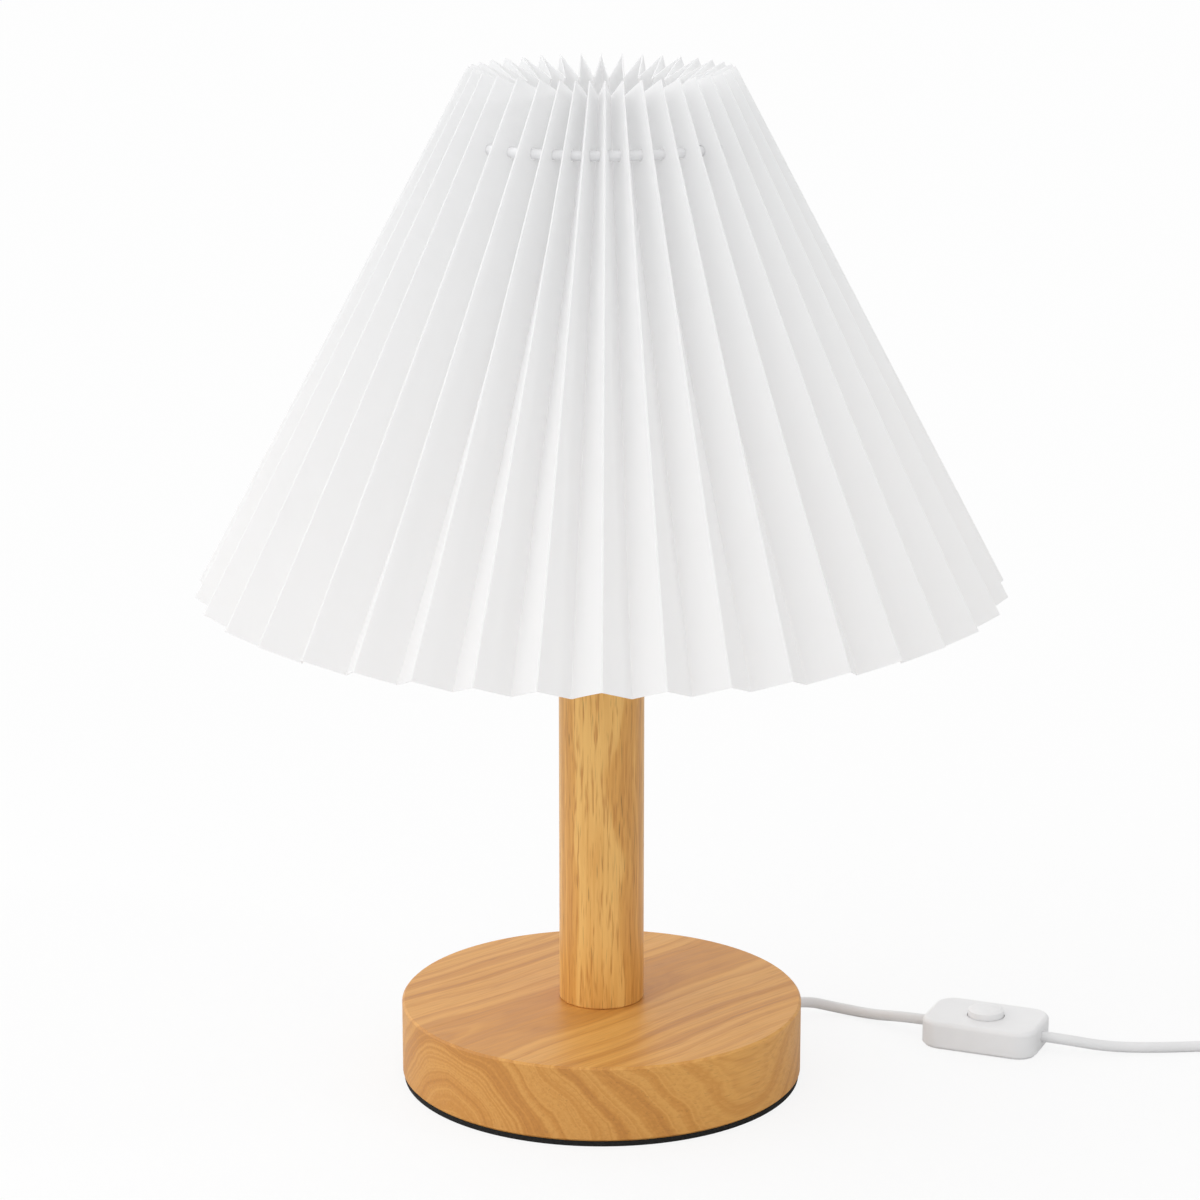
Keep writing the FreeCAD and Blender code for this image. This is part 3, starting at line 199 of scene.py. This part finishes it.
# Most values of a noise lie between these two.
NOISE_SPAN = (0.3, 0.7)
CLOUD_SCALE = 60.0
CLOUD_DARKENING = 0.965
CLOUD_ROUGHNESS = 0.04
GRAIN_SIZE = 0.0004


def plain(name, color, roughness, metallic=0.0, grain=0.0):
    """One colour with a little cloudiness and, where asked, a fine moulded or brushed grain."""
    g = Graph(name)
    cloud = g.noise(g.place, CLOUD_SCALE, 2.0)
    darker = tuple(channel * CLOUD_DARKENING for channel in color)
    tint = g.mix(g.span(cloud, *NOISE_SPAN), darker, color)
    uneven = g.span(cloud, *NOISE_SPAN, roughness - CLOUD_ROUGHNESS, roughness + CLOUD_ROUGHNESS)
    normal = None
    if grain:
        normal = g.bump(g.noise(g.place, 1 / GRAIN_SIZE, 2.0), grain, GRAIN_SIZE / 4)
    return g.finish(g.principled(tint, uneven, metallic, normal=normal))


BASE_GRAIN = math.radians(44)
BASE_PITH = (0.0, 0.004, -0.012)
POST_PITH = (0.021, 0.030, 0.0)
ACROSS_GRAIN = (0, 1, 1)
RING_DRIFT = 0.020
RING_WANDER = 0.0016
RINGS_PER_METRE = 230.0
BANDS_PER_METRE = 75.0
# The wood's noises: how often they repeat in a metre, along the grain and across it both
# ways, and the place in the pattern where they start.
SLOW_SCALE = (7, 22, 22)
WANDER_SCALE, WANDER_START = (30, 120, 120), (3, 1, 7)
FIBRE_SCALE = (25, 900, 900)
PORE_SCALE, PORE_START = (85, 1500, 1500), (0, 5, 9)
FLECK_SCALE, FLECK_START = (70, 1100, 1100), (4, 2, 0)
BAND_START = 0.31
RING_SHARE, BAND_SHARE, FIBRE_SHARE = 0.55, 0.45, 0.16
PORE_DARKENING = 0.35
WOOD_ROUGHNESS = (0.42, 0.54)
FIBRE_RELIEF, PORE_RELIEF = 0.25, -1.0
WOOD_BUMP, WOOD_RELIEF = 0.25, 0.00012
END_GRAIN = srgb(150, 92, 44)
WOOD_LIGHT = srgb(221, 163, 84)
WOOD_MIDDLE = srgb(206, 144, 66)
WOOD_DARK = srgb(179, 117, 50)
POST_LIGHT = srgb(236, 187, 106)
POST_MIDDLE = srgb(220, 163, 82)
POST_DARK = srgb(190, 128, 57)


def wood(name, rotation, pith, light, middle, dark, pore_strength, flecks,
         end_way=None, end_darkening=0.0, coat=0.12):
    """Growth rings round a pith line, stretched fibres along it, short open pores and dark
    flecks. After the rotation the grain runs along X. End grain that faces end_way is darker."""
    g = Graph(name)
    grain = g.turned(g.place, rotation=rotation)
    slow = g.noise(g.turned(grain, scale=SLOW_SCALE), 1.0, 2.0)
    wander = g.noise(g.turned(grain, scale=WANDER_SCALE, shift=WANDER_START), 1.0, 2.0)
    across = g.vector("MULTIPLY", g.vector("SUBTRACT", grain, pith), ACROSS_GRAIN)
    depth = g.vector("LENGTH", across, output=1)
    for unevenness, reach in ((slow, RING_DRIFT), (wander, RING_WANDER)):
        moved = g.math("MULTIPLY", g.math("SUBTRACT", unevenness, 0.5), reach)
        depth = g.math("ADD", depth, moved)
    rings = g.noise_line(depth, RINGS_PER_METRE, 3.0, 0.55)
    bands = g.noise_line(g.math("ADD", depth, BAND_START), BANDS_PER_METRE, 2.0, 0.5)
    fibres = g.noise(g.turned(grain, scale=FIBRE_SCALE), 1.0, 3.0, 0.6)
    figure = g.math("ADD", g.math("MULTIPLY", rings, RING_SHARE),
                    g.math("MULTIPLY", bands, BAND_SHARE))
    fibrous = g.math("MULTIPLY", g.math("SUBTRACT", fibres, 0.5), FIBRE_SHARE)
    figure = g.math("ADD", figure, fibrous)
    color = g.ramp(figure, ((0.30, dark), (0.44, middle), (0.52, light), (0.62, middle),
                            (0.70, light)))
    pores = g.noise(g.turned(grain, scale=PORE_SCALE, shift=PORE_START), 1.0, 1.0, 0.4)
    early = g.span(rings, 0.40, 0.55, 1.0, 0.35)
    pore = g.math("MULTIPLY", g.span(pores, 0.63, 0.74), early)
    pore_color = tuple(channel * PORE_DARKENING for channel in dark)
    color = g.mix(g.math("MULTIPLY", pore, pore_strength), color, pore_color)
    fleck = g.noise(g.turned(grain, scale=FLECK_SCALE, shift=FLECK_START), 1.0, 2.0, 0.5)
    color = g.mix(g.math("MULTIPLY", g.span(fleck, 0.54, 0.68), flecks), color, dark)
    if end_way:
        facing = g.tree.nodes.new("ShaderNodeTexCoord").outputs["Normal"]
        ends = g.math("ABSOLUTE", g.vector("DOT_PRODUCT", facing, end_way, output=1))
        color = g.mix(g.span(ends, 0.15, 0.95, 0.0, end_darkening), color, END_GRAIN)
    rough = g.span(fibres, *NOISE_SPAN, *WOOD_ROUGHNESS)
    relief = g.math("ADD", g.math("MULTIPLY", fibres, FIBRE_RELIEF),
                    g.math("MULTIPLY", pore, PORE_RELIEF))
    normal = g.bump(relief, WOOD_BUMP, WOOD_RELIEF)
    return g.finish(g.principled(color, rough, specular=0.4, coat=coat, coat_roughness=0.28,
                                 normal=normal))


PAPER_LIGHT = (0.845, 0.846, 0.848)
PAPER_DARK = (0.825, 0.826, 0.828)
PAPER_THROUGH = 0.50
PAPER_GLOW = 0.11
PAPER_MOTTLE = 0.008
MOTTLE_SCALE, PAPER_CLOUD_SCALE, PAPER_FIBRE_SCALE = 260.0, 25.0, 2600.0
PAPER_BUMP, PAPER_RELIEF = 0.10, 0.00006


def folded_paper():
    """Matte paper that lets some light through, with fine fibres and a faint mottle. A faint
    glow of its own stands for the light that bounces on between the folds."""
    g = Graph("folded_paper")
    mottle = g.noise(g.place, MOTTLE_SCALE, 4.0, 0.6)
    clouds = g.noise(g.place, PAPER_CLOUD_SCALE, 2.0)
    shade = g.math("ADD", g.span(mottle, *NOISE_SPAN, -PAPER_MOTTLE, PAPER_MOTTLE),
                   g.span(clouds, *NOISE_SPAN, -PAPER_MOTTLE, PAPER_MOTTLE))
    color = g.mix(g.math("ADD", shade, 0.5, clamp=True), PAPER_DARK, PAPER_LIGHT)
    fibres = g.noise(g.place, PAPER_FIBRE_SCALE, 3.0, 0.6)
    normal = g.bump(fibres, PAPER_BUMP, PAPER_RELIEF)
    front = g.principled(color, 0.78, specular=0.18, normal=normal)
    through = g.tree.nodes.new("ShaderNodeBsdfTranslucent")
    g.put(through.inputs["Color"], color)
    sheet = g.join("ShaderNodeMixShader", front, through.outputs[0], PAPER_THROUGH)
    glow = g.tree.nodes.new("ShaderNodeEmission")
    glow.inputs["Strength"].default_value = PAPER_GLOW
    return g.finish(g.join("ShaderNodeAddShader", sheet, glow.outputs[0]))


FOAM_SCALE = 1400.0
FOAM_DARK, FOAM_LIGHT = (0.006, 0.006, 0.006), (0.020, 0.020, 0.019)


def foam():
    g = Graph("foam_pad")
    cells = g.noise(g.place, FOAM_SCALE, 3.0, 0.6)
    color = g.mix(g.span(cells, *NOISE_SPAN), FOAM_DARK, FOAM_LIGHT)
    return g.finish(g.principled(color, 0.85, specular=0.25, normal=g.bump(cells, 0.5, 0.0002)))


def make_materials():
    base_wood = wood("base_wood", (0, 0, -BASE_GRAIN), BASE_PITH,
                     WOOD_LIGHT, WOOD_MIDDLE, WOOD_DARK, pore_strength=0.25, flecks=0.20,
                     end_way=(math.cos(BASE_GRAIN), math.sin(BASE_GRAIN), 0.0),
                     end_darkening=0.18)
    post_wood = wood("post_wood", (0, math.pi / 2, 0), POST_PITH,
                     POST_LIGHT, POST_MIDDLE, POST_DARK, pore_strength=0.75, flecks=0.75,
                     coat=0.30)
    slots = {
        "pad": foam(),
        "wood": base_wood,
        "steel": plain("zinc_steel", (0.60, 0.60, 0.61), 0.34, metallic=1.0, grain=0.2),
        "brass": plain("brass", (0.78, 0.58, 0.26), 0.28, metallic=1.0, grain=0.15),
        "holder_white": plain("holder_plastic", (0.78, 0.78, 0.77), 0.42, grain=0.1),
        "ceramic": plain("ceramic", (0.80, 0.79, 0.76), 0.22),
        "carrier_white": plain("powder_coat", (0.80, 0.80, 0.80), 0.48, grain=0.3),
        "paper": folded_paper(),
        "ring_white": plain("ring_coat", (0.84, 0.84, 0.85), 0.38),
        "bulb_white": plain("bulb_plastic", (0.84, 0.84, 0.83), 0.4),
        "bulb_opal": plain("opal_globe", (0.88, 0.88, 0.86), 0.25),
        "bulb_metal": plain("bulb_metal", (0.72, 0.72, 0.73), 0.3, metallic=1.0),
        "black_plastic": plain("black_plastic", (0.015, 0.015, 0.015), 0.4),
        "cord_white": plain("cord_plastic", (0.78, 0.78, 0.785), 0.42),
        "switch_white": plain("switch_plastic", (0.84, 0.84, 0.845), 0.33, grain=0.05),
    }
    return slots, post_wood


def paint(piece, material):
    piece.data.materials.clear()
    piece.data.materials.append(material)


# ---------------------------------------------------------------- paper shade

FOLDS = 76
PANEL = 0.0165
PAPER = 0.00035
TOP_RADIUS, TOP_HEIGHT = 0.0483, 0.383
BOTTOM_RADIUS, BOTTOM_HEIGHT = 0.150, 0.192
RING_RADIUS, RING_HEIGHT, RING_WIRE = 0.0525, 0.3575, 0.0018
HOLE_PLAY = 0.0004
FOLD_DRIFT_ONCE, FOLD_DRIFT_TWICE = 2.5, 2.3
GATHER_TURN, GATHER_PLACE, GATHER_SPREAD = 8.0, -33.0, 25.0
CREASE = 0.00035
PANEL_WAVE = 0.00045
PANEL_RIPPLE = 0.00016
WAVE_STEP, WAVES_UP = 3.7, 2.2
RIPPLE_STEP, RIPPLES_UP, RIPPLES_ACROSS = 5.1, 9.0, 1.5
ROWS = 56
ACROSS = 6


def valley_end(radius, height):
    half_pitch = 2 * math.pi / FOLDS
    slope = math.atan2(BOTTOM_RADIUS - TOP_RADIUS, TOP_HEIGHT - BOTTOM_HEIGHT)
    inward = math.sqrt(PANEL ** 2 - (radius * math.sin(half_pitch)) ** 2)
    return (radius * math.cos(half_pitch) - inward * math.cos(slope),
            height - inward * math.sin(slope))


def fold_turn(fold, at_top):
    even = 360.0 / FOLDS * fold
    angle = (even - FOLD_DRIFT_ONCE * math.sin(math.radians(even))
             - FOLD_DRIFT_TWICE * math.sin(math.radians(2 * even)))
    if at_top:
        away = (even - GATHER_PLACE + 180) % 360 - 180
        angle += GATHER_TURN * math.exp(-(away / GATHER_SPREAD) ** 2)
    return math.radians(angle)


def fold_ends(fold):
    """Bottom and top end of a fold: even folds are mountains and odd ones valleys."""
    bottom, top = (BOTTOM_RADIUS, BOTTOM_HEIGHT), (TOP_RADIUS, TOP_HEIGHT)
    if fold % 2:
        bottom, top = valley_end(*bottom), valley_end(*top)
    ends = []
    for (radius, height), at_top in ((bottom, False), (top, True)):
        angle = fold_turn(fold, at_top)
        ends.append(Vector((radius * math.sin(angle), -radius * math.cos(angle), height)))
    return ends


def paper_vertices(ends):
    """A row of points round the shade for each step from the bottom rim to the top rim."""
    vertices = []
    for row in range(ROWS + 1):
        share = row / ROWS
        folds = [low.lerp(high, share) for low, high in ends]
        for fold, here in enumerate(folds):
            after = folds[(fold + 1) % FOLDS]
            along = ends[fold][1] - ends[fold][0]
            normal = (after - here).cross(along).normalized()
            start = CREASE / PANEL
            for step in range(ACROSS):
                part = start + (1 - 2 * start) * step / (ACROSS - 1)
                point = here.lerp(after, part)
                bow = math.sin(math.pi * part)
                wave = noise.noise(Vector((fold * WAVE_STEP, share * WAVES_UP, 0.0)))
                ripple = noise.noise(Vector((fold * RIPPLE_STEP, share * RIPPLES_UP,
                                             part * RIPPLES_ACROSS)))
                uneven = PANEL_WAVE * wave + PANEL_RIPPLE * ripple
                vertices.append(point + normal * uneven * bow)
    return vertices


def make_paper(material):
    ends = [fold_ends(fold) for fold in range(FOLDS)]
    vertices = paper_vertices(ends)
    width = FOLDS * ACROSS
    faces = []
    for row in range(ROWS):
        for column in range(width):
            after = (column + 1) % width
            faces.append((row * width + column, row * width + after,
                          (row + 1) * width + after, (row + 1) * width + column))
    mesh = bpy.data.meshes.new("paper_shade")
    mesh.from_pydata([tuple(v) for v in vertices], [], faces)
    mesh.update()
    shade = bpy.data.objects.new("paper_shade", mesh)
    bpy.context.collection.objects.link(shade)
    thick = shade.modifiers.new("thickness", "SOLIDIFY")
    thick.thickness = PAPER
    thick.offset = 0.0
    thick.use_even_offset = True
    paint(shade, material)
    return shade


def torus(name, radius, wire, height, turns=192, sides=20):
    bpy.ops.mesh.primitive_torus_add(major_radius=radius, minor_radius=wire,
                                     major_segments=turns, minor_segments=sides,
                                     location=(0, 0, 0))
    ring = bpy.context.object
    ring.name = name
    for vertex in ring.data.vertices:
        vertex.co.z += height
    ring.data.shade_smooth()
    return ring


def punch_holes(shade):
    """Cuts the ring's hole through every panel at once."""
    tool = torus("hole_tool", RING_RADIUS, RING_WIRE + HOLE_PLAY, RING_HEIGHT, 152, 16)
    cut = shade.modifiers.new("holes", "BOOLEAN")
    cut.operation = "DIFFERENCE"
    cut.solver = "EXACT"
    cut.object = tool
    bpy.context.view_layer.update()
    graph = bpy.context.evaluated_depsgraph_get()
    mesh = bpy.data.meshes.new_from_object(shade.evaluated_get(graph))
    shade.modifiers.clear()
    shade.data = mesh
    bpy.data.objects.remove(tool)


# ---------------------------------------------------------------- cords

CORD_RADIUS = 0.0021
SWITCH_PLACE = Vector((0.1503, 0.0305, 0.0055))
SWITCH_TURN = math.radians(-22.5)
SWITCH_HALF = 0.023
LEAD_TURN = math.radians(38)
LEAD_OUT = 0.084
LEAD_HEIGHT = 0.006
COIL_PLACE = Vector((0.279, 0.057, 0.0))
COIL_START = math.radians(-78)
COIL_RADIUS = 0.029
COIL_STEP = 0.0048
COIL_TURNS = 2.375
COIL_LAYERS = 4
COIL_REVERSE = 0.5
POINTS_A_TURN = 24
PLUG_FACE = Vector((0.355, 0.122, 0.00685))
PLUG_TURN = math.radians(75)
PLUG_BACK = 0.046
LEAD_STRAIGHT = 0.016
SWITCH_RUN_IN, SWITCH_RUN_OUT = 0.011, 0.009
COIL_RUN_IN, COIL_RUN_OUT = 0.009, 0.016
PLUG_RUN_IN = 0.002
# The points of the cords' routes between the pieces that they join.
TO_SWITCH_WAY = (Vector((0.0955, 0.0610, 0.0024)), Vector((0.1090, 0.0535, 0.0024)))
TO_COIL_WAY = (Vector((0.1970, 0.0176, 0.0026)), Vector((0.2190, 0.0184, CORD_RADIUS)),
               Vector((0.2420, 0.0208, CORD_RADIUS)), Vector((0.2600, 0.0238, CORD_RADIUS)))
TO_PLUG_WAY = (Vector((0.3250, 0.0435, 0.0120)), Vector((0.3380, 0.0600, 0.0075)))


def heading(angle):
    return Vector((math.cos(angle), math.sin(angle), 0.0))


def coil_point(turns):
    """The cord's centre after so many turns: spirals in and out, climbing where it reverses."""
    radius, height, left, inward = COIL_RADIUS, CORD_RADIUS, turns, -1
    for layer in range(COIL_LAYERS):
        spiral = min(left, COIL_TURNS)
        radius += inward * COIL_STEP * spiral
        left -= spiral
        if left <= 0 or layer == COIL_LAYERS - 1:
            break
        share = min(left, COIL_REVERSE) / COIL_REVERSE
        radius += inward * COIL_STEP * COIL_REVERSE * (share - share * share)
        height += COIL_STEP * (1 - math.cos(math.pi * share)) / 2
        left -= COIL_REVERSE * share
        if left <= 0:
            break
        inward = -inward
    way = heading(COIL_START + 2 * math.pi * turns) * radius
    return COIL_PLACE + way + Vector((0, 0, height))


def make_cord(name, points, material):
    data = bpy.data.curves.new(name, "CURVE")
    data.dimensions = "3D"
    data.bevel_depth = CORD_RADIUS
    data.bevel_resolution = 5
    data.resolution_u = 10
    line = data.splines.new("NURBS")
    line.points.add(len(points) - 1)
    for point, place in zip(line.points, points):
        point.co = (*place, 1.0)
    line.order_u = 3
    line.use_endpoint_u = True
    data.use_fill_caps = True
    cord = bpy.data.objects.new(name, data)
    bpy.context.collection.objects.link(cord)
    data.materials.append(material)
    return cord


def make_cords(material):
    out = heading(LEAD_TURN)
    axis = heading(SWITCH_TURN)
    start = out * LEAD_OUT + Vector((0, 0, LEAD_HEIGHT))
    into_switch = SWITCH_PLACE - axis * SWITCH_HALF
    lamp_cord = make_cord("lamp_cord_visual", [
        start, start + out * LEAD_STRAIGHT, *TO_SWITCH_WAY,
        into_switch - axis * SWITCH_RUN_IN, into_switch], material)
    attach(lamp_cord, "lamp")
    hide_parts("lamp_cord")

    from_switch = SWITCH_PLACE + axis * SWITCH_HALF
    total = COIL_LAYERS * COIL_TURNS + (COIL_LAYERS - 1) * COIL_REVERSE
    count = int(total * POINTS_A_TURN)
    coil = [coil_point(total * number / count) for number in range(count + 1)]
    entry_way = heading(COIL_START + math.pi / 2)
    plug_way = heading(PLUG_TURN)
    plug_entry = PLUG_FACE - plug_way * PLUG_BACK
    lead = 2 * CORD_RADIUS
    mains = [from_switch, from_switch + axis * SWITCH_RUN_OUT, *TO_COIL_WAY,
             coil[0] - entry_way * (lead + COIL_RUN_IN)]
    mains += coil
    mains += [coil[-1] + entry_way * (lead + COIL_RUN_OUT), *TO_PLUG_WAY,
              plug_entry - plug_way * PLUG_RUN_IN, plug_entry]
    mains_cord = make_cord("mains_cord_visual", mains, material)
    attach(mains_cord, "lamp")
    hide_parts("plug_cord", "cord_coil", "plug_tail")


# ---------------------------------------------------------------- stage and light

FLOOR_SIZE = 60
FLOOR_DROP = 0.00005
FLOOR_ALBEDO = 0.72
FLOOR_WHITE = 1.026
FLOOR_SHADOW = 0.18
SKY = 1.00
SKY_LEAN = 0.52
SKY_BRIGHT_SIDE = Vector((-0.93, -0.08, 0.25)).normalized()
SEEN_SKY = 0.985
SUN = 0.20
SUN_ANGLE = math.radians(45)
SUN_WAY = Vector((0.90, 0.35, -0.75))
SPOT_POWER = 45.0
SPOT_PLACE = Vector((1.52, -0.41, 1.53))
SPOT_TARGET = Vector((0.0, 0.0, 0.295))
SPOT_ANGLE = math.radians(10.0)
SPOT_BLEND = 0.6
SPOT_SOFTNESS = 0.25


def make_shade_spot():
    """A soft spot from the right that reaches little more than the shade."""
    data = bpy.data.lights.new("shade_spot", "SPOT")
    data.energy = SPOT_POWER
    data.spot_size = SPOT_ANGLE
    data.spot_blend = SPOT_BLEND
    data.shadow_soft_size = SPOT_SOFTNESS
    spot = bpy.data.objects.new("shade_spot", data)
    spot.location = SPOT_PLACE
    spot.rotation_euler = (SPOT_TARGET - SPOT_PLACE).to_track_quat("-Z", "Y").to_euler()
    spot.visible_camera = False
    bpy.context.scene.collection.objects.link(spot)


def make_floor():
    """A white floor. The camera sees mostly its own white, and a share of its shadows."""
    bpy.ops.mesh.primitive_plane_add(size=FLOOR_SIZE, location=(0, 0, -FLOOR_DROP))
    floor = bpy.context.object
    floor.name = "floor"
    g = Graph("floor_white")
    matte = g.tree.nodes.new("ShaderNodeBsdfDiffuse")
    matte.inputs["Color"].default_value = (FLOOR_ALBEDO,) * 3 + (1.0,)
    sweep = g.tree.nodes.new("ShaderNodeEmission")
    sweep.inputs["Color"].default_value = (FLOOR_WHITE,) * 3 + (1.0,)
    ray = g.tree.nodes.new("ShaderNodeLightPath")
    share = g.math("MULTIPLY", ray.outputs["Is Camera Ray"], 1 - FLOOR_SHADOW)
    paint(floor, g.finish(g.join("ShaderNodeMixShader", matte.outputs[0], sweep.outputs[0],
                                 share)))


def make_sky():
    """A white sky, brighter toward one side. The camera sees one plain white instead."""
    world = bpy.data.worlds.new("studio")
    bpy.context.scene.world = world
    world.use_nodes = True
    tree = world.node_tree
    tree.nodes.clear()
    light = tree.nodes.new("ShaderNodeBackground")
    light.inputs["Color"].default_value = (1, 1, 1, 1)
    place = tree.nodes.new("ShaderNodeTexCoord")
    toward = tree.nodes.new("ShaderNodeVectorMath")
    toward.operation = "DOT_PRODUCT"
    toward.inputs[1].default_value = SKY_BRIGHT_SIDE
    strength = tree.nodes.new("ShaderNodeMapRange")
    strength.inputs["From Min"].default_value = -1.0
    strength.inputs["To Min"].default_value = SKY * (1 - SKY_LEAN)
    strength.inputs["To Max"].default_value = SKY * (1 + SKY_LEAN)
    tree.links.new(place.outputs["Generated"], toward.inputs[0])
    tree.links.new(toward.outputs["Value"], strength.inputs["Value"])
    tree.links.new(strength.outputs[0], light.inputs["Strength"])
    seen = tree.nodes.new("ShaderNodeBackground")
    seen.inputs["Color"].default_value = (SEEN_SKY,) * 3 + (1.0,)
    ray = tree.nodes.new("ShaderNodeLightPath")
    pick = tree.nodes.new("ShaderNodeMixShader")
    out = tree.nodes.new("ShaderNodeOutputWorld")
    tree.links.new(ray.outputs["Is Camera Ray"], pick.inputs[0])
    tree.links.new(light.outputs[0], pick.inputs[1])
    tree.links.new(seen.outputs[0], pick.inputs[2])
    tree.links.new(pick.outputs[0], out.inputs["Surface"])


def make_sun():
    data = bpy.data.lights.new("window", "SUN")
    data.energy = SUN
    data.angle = SUN_ANGLE
    sun = bpy.data.objects.new("window", data)
    sun.rotation_euler = SUN_WAY.to_track_quat("-Z", "Y").to_euler()
    bpy.context.collection.objects.link(sun)


# ---------------------------------------------------------------- assembly

place_camera()
slots, post_wood = make_materials()
make_cords(slots["cord_white"])

for subpart in frame["record"]["subparts"]:
    node = nodes[subpart["node"]]
    if node.type == "MESH":
        paint(node, slots[subpart["material_slot"]])
paint(nodes["post"], post_wood)

paper = make_paper(slots["paper"])
punch_holes(paper)
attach(paper, "shade")
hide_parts("shade_paper")

ring = torus("support_ring_visual", RING_RADIUS, RING_WIRE, RING_HEIGHT)
paint(ring, slots["ring_white"])
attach(ring, "shade")
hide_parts("support_ring")

make_floor()
make_sky()
make_sun()
make_shade_spot()
bpy.context.scene.view_settings.view_transform = "Standard"
